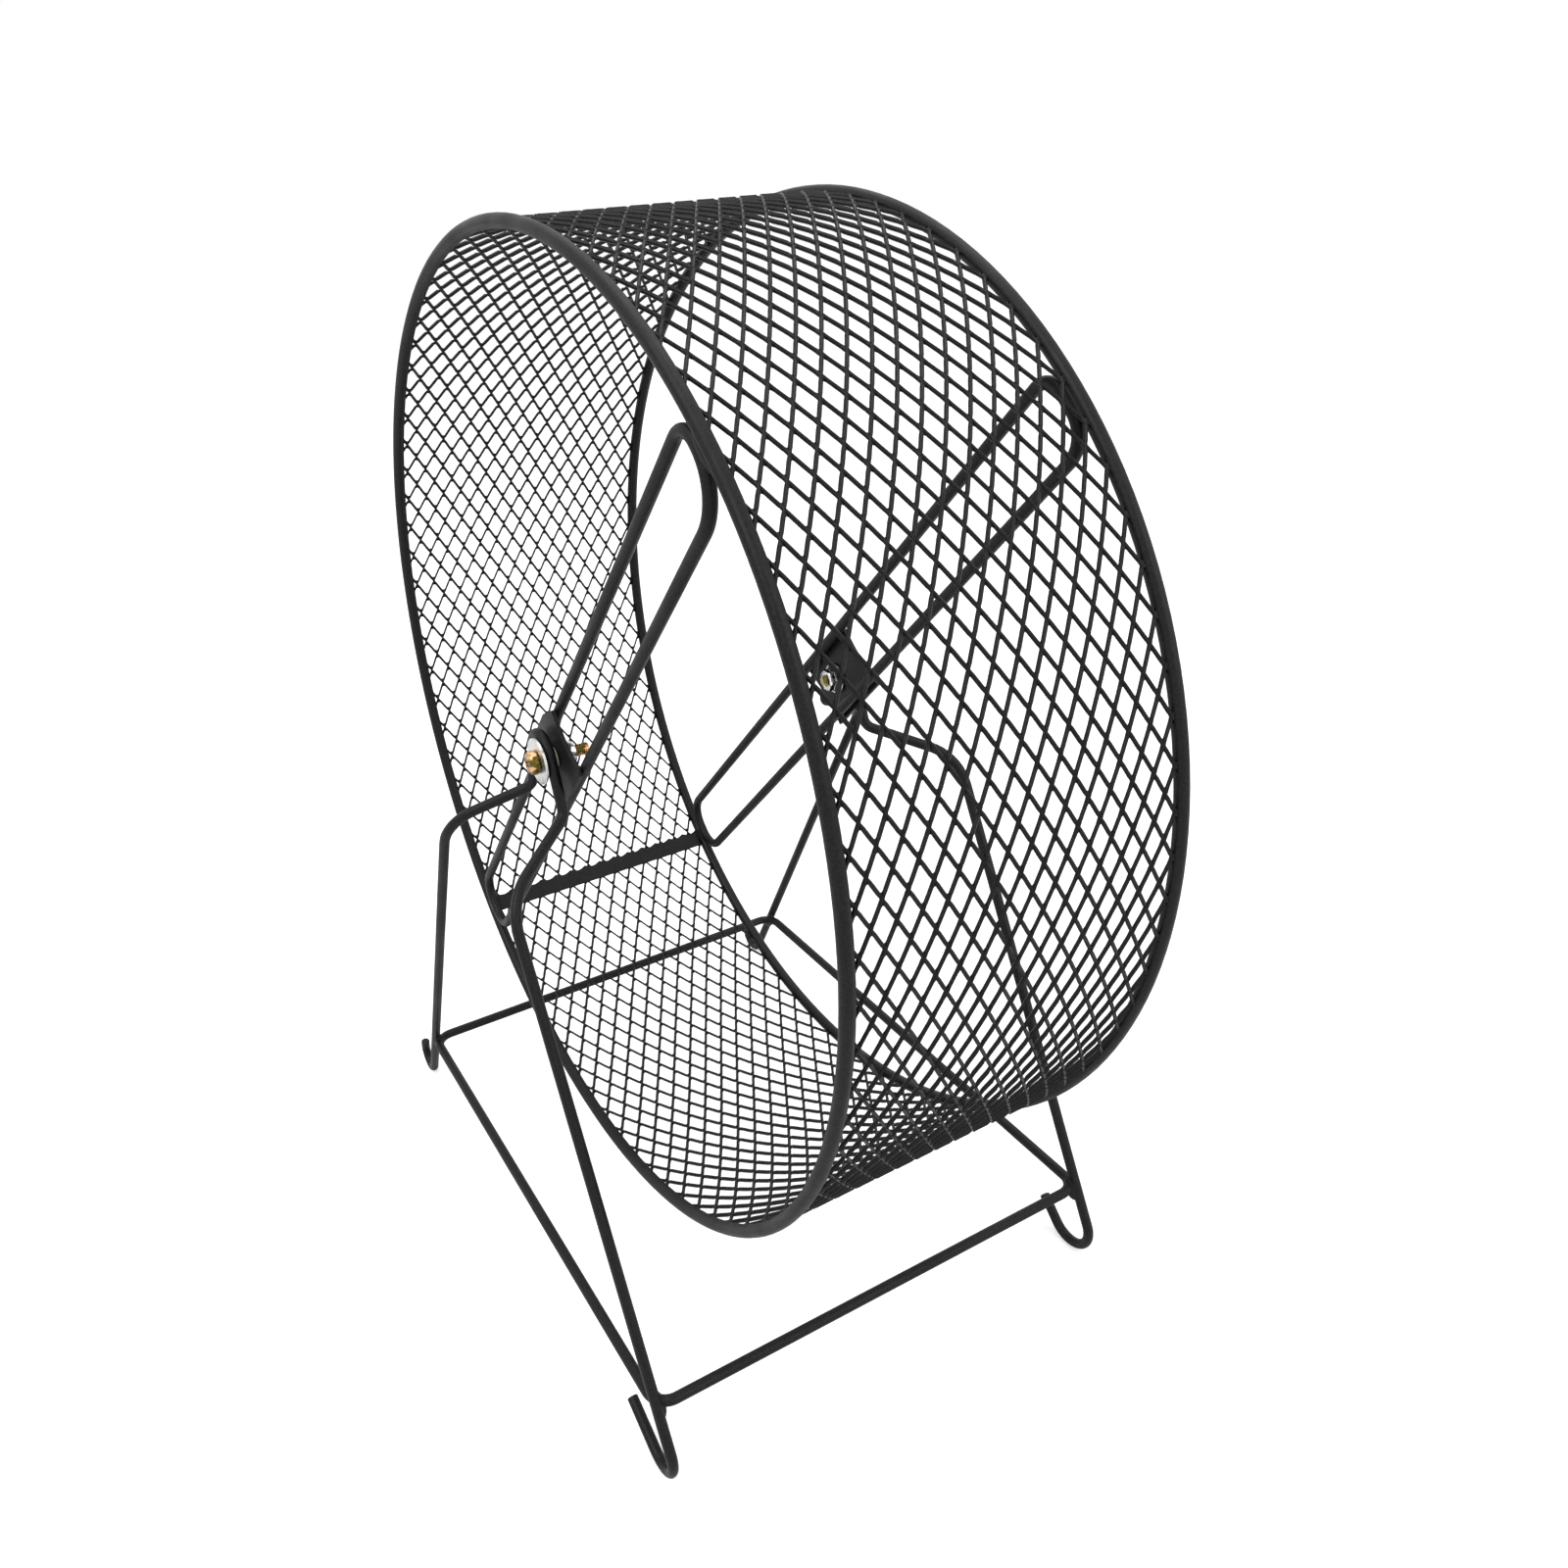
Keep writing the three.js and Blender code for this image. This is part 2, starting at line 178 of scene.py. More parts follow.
def select_parts(piece: Piece, mode: str, test: Callable[[object], bool]) -> None:
    """Selects some of a mesh's vertices or faces, and opens edit mode.

    Args:
        piece: The active mesh object.
        mode: The selection mode, VERT or FACE.
        test: Says of a vertex or a face whether it is wanted.
    """
    bpy.ops.object.mode_set(mode="EDIT")
    bpy.ops.mesh.select_mode(type=mode)
    bpy.ops.mesh.select_all(action="DESELECT")
    leave_edit()
    for part in piece.data.vertices if mode == "VERT" else piece.data.polygons:
        part.select = test(part)
    bpy.ops.object.mode_set(mode="EDIT")


def nudge(piece: Piece, place: Vector, step: tuple[float, float, float]) -> None:
    """Moves the vertices at one place of the active mesh by a step, in edit mode."""
    select_parts(piece, "VERT", lambda vertex: (vertex.co - place).length < SAME_POINT)
    bpy.ops.transform.translate(value=step)


def trim(place: Vector, normal: Vector, fill: bool = False) -> None:
    """Cuts the active mesh off beyond a plane.

    Args:
        place: A point of the plane.
        normal: The direction of what is thrown away.
        fill: Whether a face closes the cut.
    """
    edit_all()
    bpy.ops.mesh.bisect(plane_co=place, plane_no=normal, clear_outer=True, use_fill=fill)
    leave_edit()


def apply_modifier(piece: Piece, kind: str, **settings: object) -> None:
    """Adds a modifier to a piece, sets it and applies it.

    Args:
        piece: The object.
        kind: The modifier's type.
        settings: The modifier's properties.
    """
    make_active(piece)
    modifier = piece.modifiers.new(kind.title(), kind)
    for key, value in settings.items():
        setattr(modifier, key, value)
    bpy.ops.object.modifier_apply(modifier=modifier.name)


def repeat(piece: Piece, count: int, step: float, **settings: object) -> None:
    """Repeats a piece along the axle.

    Args:
        piece: The object.
        count: How many there are in the end.
        step: The distance from one to the next.
        settings: Further properties of the array modifier.
    """
    apply_modifier(
        piece,
        "ARRAY",
        count=count,
        use_relative_offset=False,
        use_constant_offset=True,
        constant_offset_displace=(0, step, 0),
        **settings,
    )


def settle(piece: Piece) -> None:
    """Moves a piece's place, turn and size into its mesh."""
    make_active(piece)
    bpy.ops.object.transform_apply(location=True, rotation=True, scale=True)


def smooth(piece: Piece, angle: float) -> None:
    """Shades a piece smooth, with edges sharper than the angle kept."""
    make_active(piece)
    bpy.ops.object.shade_smooth_by_angle(angle=angle)


def close_up(piece: Piece, angle: float = ROUND_EDGE, distance: float = TOUCHING) -> Piece:
    """Settles a piece, merges its doubles, turns its faces outwards and shades it.

    Args:
        piece: The object.
        angle: The largest angle that is smoothed over.
        distance: How near two vertices are that become one.

    Returns:
        The same object.
    """
    settle(piece)
    edit_all()
    bpy.ops.mesh.remove_doubles(threshold=distance)
    bpy.ops.mesh.select_all(action="SELECT")
    bpy.ops.mesh.normals_make_consistent(inside=False)
    leave_edit()
    smooth(piece, angle)
    return piece


def cut(piece: Piece, tool: Piece, operation: str = "DIFFERENCE") -> None:
    """Cuts a solid with another one by a boolean operation, and throws the tool away."""
    apply_modifier(piece, "BOOLEAN", object=tool, operation=operation, solver="EXACT")
    bpy.data.objects.remove(tool)


def flat_strip(
    name: str,
    size: tuple[float, float],
    cells: tuple[int, int],
    middle: tuple[float, float],
    turn: float = 0,
) -> Piece:
    """Lays a flat strip of sheet at the origin's height.

    Args:
        name: The piece's name.
        size: Its size along X and Y before it is turned.
        cells: The subdivisions along both.
        middle: The place of its middle.
        turn: The angle by which it is turned in its plane.

    Returns:
        The strip.
    """
    bpy.ops.mesh.primitive_grid_add(
        x_subdivisions=cells[0],
        y_subdivisions=cells[1],
        size=1,
        location=(*middle, 0),
        rotation=(0, 0, turn),
    )
    piece = named_active(name)
    piece.scale = (*size, 1)
    settle(piece)
    return piece


def place_on_drum(piece: Piece, angle: float, radius: float) -> None:
    """Carries a flat piece to the drum: its Z points outwards, and its Y along the axle.

    Args:
        piece: The flat piece, made round the origin.
        angle: The place round the axle, from +X towards +Z.
        radius: The distance from the axle.
    """
    piece.rotation_euler = (0, pi / 2 - angle, 0)
    piece.location = axle_centre() + radius * Vector((cos(angle), 0, sin(angle)))
    settle(piece)


# Bent wire


@dataclass(frozen=True)
class Corner:
    """One bend of a wire: where its straight runs would meet, and its radius."""

    place: Vector
    radius: float


@dataclass
class WireBender:
    """Bends round wire: a disc run along the straights and spun round the bends."""

    diameter: float
    sides: int = 20
    bend_step: float = radians(7)
    tip_chamfer: float = 0.4 * MM

    @staticmethod
    def run(step: Vector) -> None:
        """Runs the wire straight on by a step, if there is any way to go."""
        if step.length > SAME_POINT:
            bpy.ops.mesh.extrude_region_move(
                TRANSFORM_OT_translate={"value": step, "orient_type": "GLOBAL"}
            )

    def bend(self, centre: Vector, axis: Vector, turn: float) -> None:
        """Turns the wire round a bend, by an angle that the operator counts the other way."""
        steps = max(2, ceil(turn / self.bend_step))
        bpy.ops.mesh.spin(steps=steps, angle=-turn, center=centre, axis=axis)

    def wire(self, name: str, start: Vector, corners: list[Corner], end: Vector | None) -> Piece:
        """Bends one whole wire.

        Args:
            name: The piece's name.
            start: Where the wire starts.
            corners: Its bends, in order.
            end: Where it ends, or None for a closed wire.

        Returns:
            The wire, with its place in its mesh.
        """
        closed = end is None
        stops = [corner.place for corner in corners] + [start if closed else end]
        bpy.ops.mesh.primitive_circle_add(
            vertices=self.sides,
            radius=self.diameter / 2,
            fill_type="NOTHING" if closed else "NGON",
            location=start,
            rotation=(corners[0].place - start).to_track_quat("Z", "Y").to_euler(),
        )
        edit_all()
        here = start
        for corner, after in zip(corners, stops[1:]):
            arriving = (corner.place - here).normalized()
            leaving = (after - corner.place).normalized()
            turn = arriving.angle(leaving)
            reach = corner.radius * tan(turn / 2)
            inward = (leaving - arriving).normalized()
            self.run(corner.place - arriving * reach - here)
            self.bend(
                corner.place + inward * corner.radius / cos(turn / 2),
                arriving.cross(leaving).normalized(),
                turn,
            )
            here = corner.place + leaving * reach
        self.run(stops[-1] - here)
        leave_edit()
        piece = named_active(name)
        if not closed:
            self.round_tips(piece)
        return close_up(piece)

    def round_tips(self, piece: Piece) -> None:
        """Chamfers both cut ends of an open wire.

        Args:
            piece: The wire.
        """
        select_parts(piece, "FACE", lambda face: len(face.vertices) > 4)
        bpy.ops.mesh.inset(thickness=self.tip_chamfer, depth=self.tip_chamfer / 2)
        bpy.ops.mesh.select_mode(type="VERT")
        leave_edit()


def weld_bead(name: str, place: Vector, along: Vector, size: Vector, seed: int) -> Piece:
    """Makes one small uneven bead of weld under the coat.

    Args:
        name: The piece's name.
        place: The middle of the bead.
        along: The direction of its length.
        size: Its half width, half height and half length.
        seed: The seed of its unevenness.

    Returns:
        The bead.
    """
    unevenness = 0.12 * MM
    bpy.ops.mesh.primitive_ico_sphere_add(
        subdivisions=3,
        radius=1,
        location=place,
        rotation=along.to_track_quat("Z", "Y").to_euler(),
        scale=size,
    )
    piece = named_active(name)
    settle(piece)
    edit_all()
    bpy.ops.transform.vertex_random(offset=unevenness, uniform=0, normal=1, seed=seed)
    bpy.ops.mesh.vertices_smooth(factor=0.5, repeat=2)
    leave_edit()
    return close_up(piece, pi)


# Finishes


def link(tree: Tree, *ways: tuple[Node, str | int, Node, str | int]) -> None:
    """Links nodes, each way from a node's output to a node's input."""
    for source, output, target, entry in ways:
        tree.links.new(source.outputs[output], target.inputs[entry])


def new_group(name: str, inputs: list[str], masks: list[str]) -> tuple[Tree, Node, Node, Node]:
    """Makes a shared shader node group with named values and masks, and Object coordinates.

    Args:
        name: The group's name.
        inputs: Its values.
        masks: Its outputs.

    Returns:
        The group, and its input, output and coordinate nodes.
    """
    group = bpy.data.node_groups.new(name, "ShaderNodeTree")
    for in_out, labels in (("INPUT", inputs), ("OUTPUT", masks)):
        for label in labels:
            group.interface.new_socket(label, in_out=in_out, socket_type="NodeSocketFloat")
    kinds = ("NodeGroupInput", "NodeGroupOutput", "ShaderNodeTexCoord")
    return group, *(group.nodes.new(kind) for kind in kinds)


def add_group(tree: Tree, name: str, values: dict[str, float]) -> Node:
    """Places a shared group in a material with values of its own.

    Args:
        tree: The material's nodes.
        name: The group's name.
        values: The values of its inputs.

    Returns:
        The group's node.
    """
    node = tree.nodes.new("ShaderNodeGroup")
    node.node_tree = bpy.data.node_groups[name]
    for label, value in values.items():
        node.inputs[label].default_value = value
    return node


def ramp(
    tree: Tree,
    source: tuple[Node, str],
    target: tuple[Node, str],
    places: tuple[float, float],
    colours: tuple[Colour, Colour],
) -> None:
    """Leads a mask through a colour ramp.

    Args:
        tree: The material's nodes.
        source: The mask's node and output.
        target: The node and input that take the colour or the value.
        places: The mask's values at the ramp's start and end.
        colours: The colours there.
    """
    node = tree.nodes.new("ShaderNodeValToRGB")
    for element, place, colour in zip(node.color_ramp.elements, places, colours):
        element.position = place
        element.color = (*colour, 1)
    link(tree, (*source, node, "Fac"), (node, "Color", *target))


@dataclass(frozen=True)
class Texture:
    """A fine noise, which also makes the bump, over a coarse one."""

    name: str
    fine: str
    coarse: str
    fine_detail: float
    bump_height: float
    stretch: Colour = (1, 1, 1)
    coarse_detail: float = 2

    def make_group(self) -> None:
        """Builds the shared group, with both noises as masks and the bumped Normal."""
        scales = [f"{self.fine} Scale", f"{self.coarse} Scale"]
        group, entry, exit_, coordinate = new_group(
            self.name, [*scales, "Depth"], [self.fine, self.coarse]
        )
        group.interface.new_socket("Normal", in_out="OUTPUT", socket_type="NodeSocketVector")
        mapping, fine, coarse, bump = (
            group.nodes.new(f"ShaderNode{kind}") for kind in ("Mapping", "TexNoise", "TexNoise", "Bump")
        )
        mapping.inputs["Scale"].default_value = self.stretch
        fine.inputs["Detail"].default_value = self.fine_detail
        coarse.inputs["Detail"].default_value = self.coarse_detail
        bump.inputs["Distance"].default_value = self.bump_height
        link(
            group,
            (coordinate, "Object", mapping, "Vector"),
            (mapping, "Vector", fine, "Vector"),
            (coordinate, "Object", coarse, "Vector"),
            (entry, scales[0], fine, "Scale"),
            (entry, scales[1], coarse, "Scale"),
            (entry, "Depth", bump, "Strength"),
            (fine, "Fac", bump, "Height"),
            (fine, "Fac", exit_, self.fine),
            (coarse, "Fac", exit_, self.coarse),
            (bump, "Normal", exit_, "Normal"),
        )


def make_axle_ring_group() -> None:
    """Builds a shared mask of the distance from the axle: 0 up to one radius, 1 from another."""
    group, entry, exit_, coordinate = new_group("axle_ring", ["Inner", "Outer"], ["Ring"])
    centred, distance, level = (
        group.nodes.new(f"ShaderNode{kind}") for kind in ("Mapping", "VectorMath", "MapRange")
    )
    distance.operation = "LENGTH"
    centred.inputs["Location"].default_value = -axle_centre()
    centred.inputs["Scale"].default_value = (1, 0, 1)
    link(
        group,
        (coordinate, "Object", centred, "Vector"),
        (centred, "Vector", distance, 0),
        (distance, "Value", level, "Value"),
        (entry, "Inner", level, "From Min"),
        (entry, "Outer", level, "From Max"),
        (level, "Result", exit_, "Ring"),
    )


COAT_SURFACE = Texture("coat_surface", "Grain", "Mottle", 3, 0.08 * MM)
# The coarse mask of plate_marks is real stains on plain plating; on the front screw head and the nuts it
# paints dark reflections.
PLATE_MARKS = Texture("plate_marks", "Marks", "Stains_and_painted_reflections", 4, 0.03 * MM, (0.25, 1.6, 0.25))


@dataclass(frozen=True)
class Surface:
    """A finish, with two colours by one mask of a texture and the roughness by the other.

    Its plain values are those of zinc plate on steel, with tool marks, and stains that on some finishes
    are painted dark reflections instead.
    """

    finish: Finish
    light: Colour
    dark: Colour
    roughness: tuple[float, float] = (0.2, 0.42)
    colour_range: tuple[float, float] = (0.35, 0.62)
    roughness_range: tuple[float, float] = (0.3, 0.7)
    texture: Texture = PLATE_MARKS
    colour_mask: str = "Stains_and_painted_reflections"
    roughness_mask: str | None = "Marks"
    fine_scale: float = 2500
    coarse_scale: float = 420
    depth: float = 0.25
    level: tuple[str, float] = ("Metallic", 1)
    # bright_from: the radius inside which a washer's face takes the dark colour, a painted dark
    # reflection; the plain light colour starts at bright_blend times it.
    bright_from: float | None = None
    bright_blend: float = 1.06

    def material(self) -> bpy.types.Material:
        """Builds the material.

        Returns:
            The material.
        """
        material = bpy.data.materials.new(self.finish.material)
        material.use_nodes = True
        tree = material.node_tree
        shader = tree.nodes["Principled BSDF"]
        surface = add_group(tree, self.texture.name, {
            f"{self.texture.fine} Scale": self.fine_scale,
            f"{self.texture.coarse} Scale": self.coarse_scale,
            "Depth": self.depth,
        })
        source = (surface, self.colour_mask)
        if self.bright_from:
            limits = {"Inner": self.bright_from, "Outer": self.bright_blend * self.bright_from}
            source = (add_group(tree, "axle_ring", limits), "Ring")
        ramp(tree, source, (shader, "Base Color"), self.colour_range, (self.dark, self.light))
        if self.roughness_mask:
            greys = tuple((value,) * 3 for value in self.roughness)
            source = (surface, self.roughness_mask)
            ramp(tree, source, (shader, "Roughness"), self.roughness_range, greys)
        link(tree, (surface, "Normal", shader, "Normal"))
        label, value = self.level
        shader.inputs[label].default_value = value
        return material


class Paintshop:
    """Holds the finishes and hands finished pieces over."""

    def __init__(self) -> None:
        """Builds the shared groups and every finish."""
        COAT_SURFACE.make_group()
        PLATE_MARKS.make_group()
        make_axle_ring_group()
        # dark is painted: the dark reflections on the nuts and in the rear inner washer's face.
        silver, grey, dark = (0.80, 0.80, 0.79), (0.60, 0.60, 0.60), (0.045, 0.05, 0.05)
        surfaces = (
            Surface(
                Finish.COAT,
                (0.012, 0.0115, 0.012),
                (0.0035, 0.0035, 0.0038),
                (0.34, 0.52),
                (0.38, 0.72),
                texture=COAT_SURFACE,
                colour_mask="Grain",
                roughness_mask="Mottle",
                fine_scale=1500,
                coarse_scale=70,
                depth=0.5,
                level=("Specular IOR Level", 0.22),
            ),
            Surface(
                Finish.NYLON,
                (0.74, 0.73, 0.70),
                (0.60, 0.59, 0.56),
                colour_range=(0.3, 0.65),
                texture=COAT_SURFACE,
                colour_mask="Mottle",
                roughness_mask=None,
                fine_scale=900,
                coarse_scale=260,
                depth=0.15,
                level=("Roughness", 0.48),
            ),
            # Front screw head: the plating's own coppery yellow, with dark olive patches that are painted
            # dark reflections.
            Surface(
                Finish.COPPERY,
                (0.90, 0.56, 0.30),
                (0.15, 0.105, 0.025),
                (0.12, 0.3),
                (0.47, 0.57),
                coarse_scale=300,
            ),
            Surface(Finish.OLIVE, (0.58, 0.50, 0.14), (0.16, 0.14, 0.04), (0.15, 0.3), (0.42, 0.56)),
            # Screw recess: painted shade, darker walls and floor in the cross recess.
            Surface(Finish.RECESS, (0.22, 0.09, 0.025), (0.05, 0.022, 0.008), (0.3, 0.5)),
            Surface(Finish.BRIGHT, silver, grey),
            # Nuts: bright zinc with dark patches that are painted dark reflections.
            Surface(
                Finish.PATCHY, (0.90, 0.90, 0.88), dark, (0.1, 0.25), (0.44, 0.52), coarse_scale=520
            ),
            # Rear inner washer: a painted dark reflection over its face inside 4.1 mm, plain silver on
            # its rim.
            Surface(Finish.DULL_FACE, silver, dark, bright_from=4.1 * MM),
        )
        self.materials = {surface.finish: surface.material() for surface in surfaces}

    def dress(self, piece: Piece, finish: Finish) -> None:
        """Gives a piece, new or a CAD node, its only material."""
        piece.data.materials.clear()
        piece.data.materials.append(self.materials[finish])

    def hand_over(self, piece: Piece, body: Body, *nodes: str, finish: Finish = Finish.COAT) -> None:
        """Dresses a new piece, lets it ride on its body and hides the nodes it stands for.

        Args:
            piece: The new piece.
            body: The body that it rides on.
            nodes: The CAD nodes that it replaces.
            finish: Its finish.
        """
        self.dress(piece, finish)
        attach(piece, body.value)
        if nodes:
            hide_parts(*nodes)
        LOG.info("%s: %d faces, rides on %s", piece.name, len(piece.data.polygons), body.value)


# Stand


@dataclass(frozen=True)
class Hook:
    """The sizes of one hooked foot: its bend, and the straight tip after it."""

    bend: float
    tip_length: float
    tip_rise: float


@dataclass
class WireStand:
    """Two end frames of bent wire on a base ring, with their welds."""

    arch_radius: float = 6.5 * MM
    arch_left_foot: float = 13.6 * MM
    arch_right_foot: float = 9.4 * MM
    arch_foot_drop: float = 14 * MM
    arch_foot_bend: float = 4.5 * MM
    shoulder_spread: float = 25.8 * MM
    shoulder_drop: float = 25 * MM
    shoulder_bend: float = 18 * MM
    left_hook: Hook = Hook(5 * MM, 2.4 * MM, radians(108))
    front_right_hook: Hook = Hook(8 * MM, 14.8 * MM, radians(28))
    rear_right_hook: Hook = Hook(8 * MM, 9.2 * MM, radians(45))
    ground_off: float = 0.3 * MM
    ring_corner: float = 6 * MM
    foot_weld: Vector = Vector((2.1, 2.1, 4.4)) * MM
    foot_weld_lift: float = -0.8 * MM
    foot_weld_inset: float = 0.55

    def __post_init__(self) -> None:
        """Reads the wire, the ring and the legs' plane from the frame."""
        low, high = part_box("base_ring")
        self.wire = high.z - low.z
        self.ring_half_length = high.x - self.wire / 2
        self.leg_plane = high.y - self.wire / 2
        self.ring_height = (low.z + high.z) / 2
        self.arch_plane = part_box("rear_end_frame")[0].y + self.wire / 2
        self.axle_height = axle_centre().z
        self.hook_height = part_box("rear_end_frame")[0].z + self.wire / 2 - self.ground_off
        run = self.ring_half_length - self.shoulder_spread
        fall = self.axle_height - self.ring_height - self.shoulder_drop
        self.leg_lean = atan2(run, fall)

    def leg(self, side: Side, sign: int, foot: float, hook: Hook) -> tuple[list[Corner], Vector]:
        """Works out one leg, from the arch's foot down to its hook.

        Args:
            side: The end of the axle.
            sign: -1 for the left leg, 1 for the right one.
            foot: The distance of the arch's foot from the axle.
            hook: The sizes of the hook.

        Returns:
            The three bends, and the end of the wire's tip.
        """
        y = side.value * self.leg_plane
        top = Vector((sign * foot, side.value * self.arch_plane, self.axle_height - self.arch_foot_drop))
        shoulder = Vector((sign * self.shoulder_spread, y, self.axle_height - self.shoulder_drop))
        heading = sign * self.leg_lean - pi / 2
        turn = heading + pi + hook.tip_rise
        start_height = self.hook_height + hook.bend * (1 + sign * sin(self.leg_lean))
        leg_drop = self.axle_height - start_height - self.shoulder_drop
        start_x = sign * (self.shoulder_spread + leg_drop * tan(self.leg_lean))
        reach = hook.bend * tan(turn / 2)
        bottom = Vector((start_x, y, start_height)) + reach * Vector((cos(heading), 0, sin(heading)))
        way_to_tip = Vector((-cos(hook.tip_rise), 0, sin(hook.tip_rise)))
        corners = [
            Corner(top, self.arch_foot_bend),
            Corner(shoulder, self.shoulder_bend),
            Corner(bottom, hook.bend),
        ]
        return corners, bottom + (reach + hook.tip_length) * way_to_tip

    def arch_lean(self, foot: float) -> float:
        """The angle by which a side of the arch leans out to a foot this far from the axle."""
        slant = hypot(foot, self.arch_foot_drop)
        return acos(self.arch_radius / slant) - atan2(self.arch_foot_drop, foot)

    def end_frame(self, side: Side) -> Piece:
        """Bends one end frame from hook to hook.

        Args:
            side: The end of the axle.

        Returns:
            The wire.
        """
        left_lean = self.arch_lean(self.arch_left_foot)
        right_lean = self.arch_lean(self.arch_right_foot)
        shift = (right_lean - left_lean) / 2
        reach = self.arch_radius / sin((left_lean + right_lean) / 2)
        top_x, top_z = reach * sin(shift), self.axle_height + reach * cos(shift)
        top = Corner(Vector((top_x, side.value * self.arch_plane, top_z)), self.arch_radius)
        right_hook = self.front_right_hook if side is Side.FRONT else self.rear_right_hook
        left, left_tip = self.leg(side, -1, self.arch_left_foot, self.left_hook)
        right, right_tip = self.leg(side, 1, self.arch_right_foot, right_hook)
        bender = WireBender(self.wire)
        name = f"{side.label}_frame_wire"
        piece = bender.wire(name, left_tip, [*reversed(left), top, *right], right_tip)
        trim(Vector(), Vector((0, 0, -1)), fill=True)
        return piece

    def base_ring(self) -> Piece:
        """Bends the base ring, whose corners are welded into the legs.

        Returns:
            The ring.
        """
        length, plane, height = self.ring_half_length, self.leg_plane, self.ring_height
        corners = [
            Corner(Vector((a * length, b * plane, height)), self.ring_corner)
            for a, b in ((1, -1), (1, 1), (-1, 1), (-1, -1))
        ]
        return WireBender(self.wire).wire("base_ring_wire", Vector((0, -plane, height)), corners, None)

    def welds(self) -> list[Piece]:
        """Lays a bead where each leg touches the ring.

        Returns:
            The four beads.
        """
        beads = []
        inset = self.ring_corner * (1 - 1 / sqrt(2)) * self.foot_weld_inset
        for side in Side:
            for label, sign in (("left", -1), ("right", 1)):
                place = Vector((
                    sign * (self.ring_half_length - inset),
                    side.value * (self.leg_plane - inset),
                    self.ring_height + self.foot_weld_lift,
                ))
                along = Vector((sign * sin(self.leg_lean), 0, -cos(self.leg_lean)))
                name = f"{side.label}_{label}_foot_weld"
                beads.append(weld_bead(name, place, along, self.foot_weld, 3 + sign + side.value))
        return beads

    def build(self, paint: Paintshop) -> None:
        """Makes the whole stand.

        Args:
            paint: The finishes.
        """
        for side in Side:
            paint.hand_over(self.end_frame(side), Body.STAND, f"{side.label}_end_frame")
        paint.hand_over(self.base_ring(), Body.STAND, "base_ring")
        for bead in self.welds():
            paint.hand_over(bead, Body.STAND)


# Drum


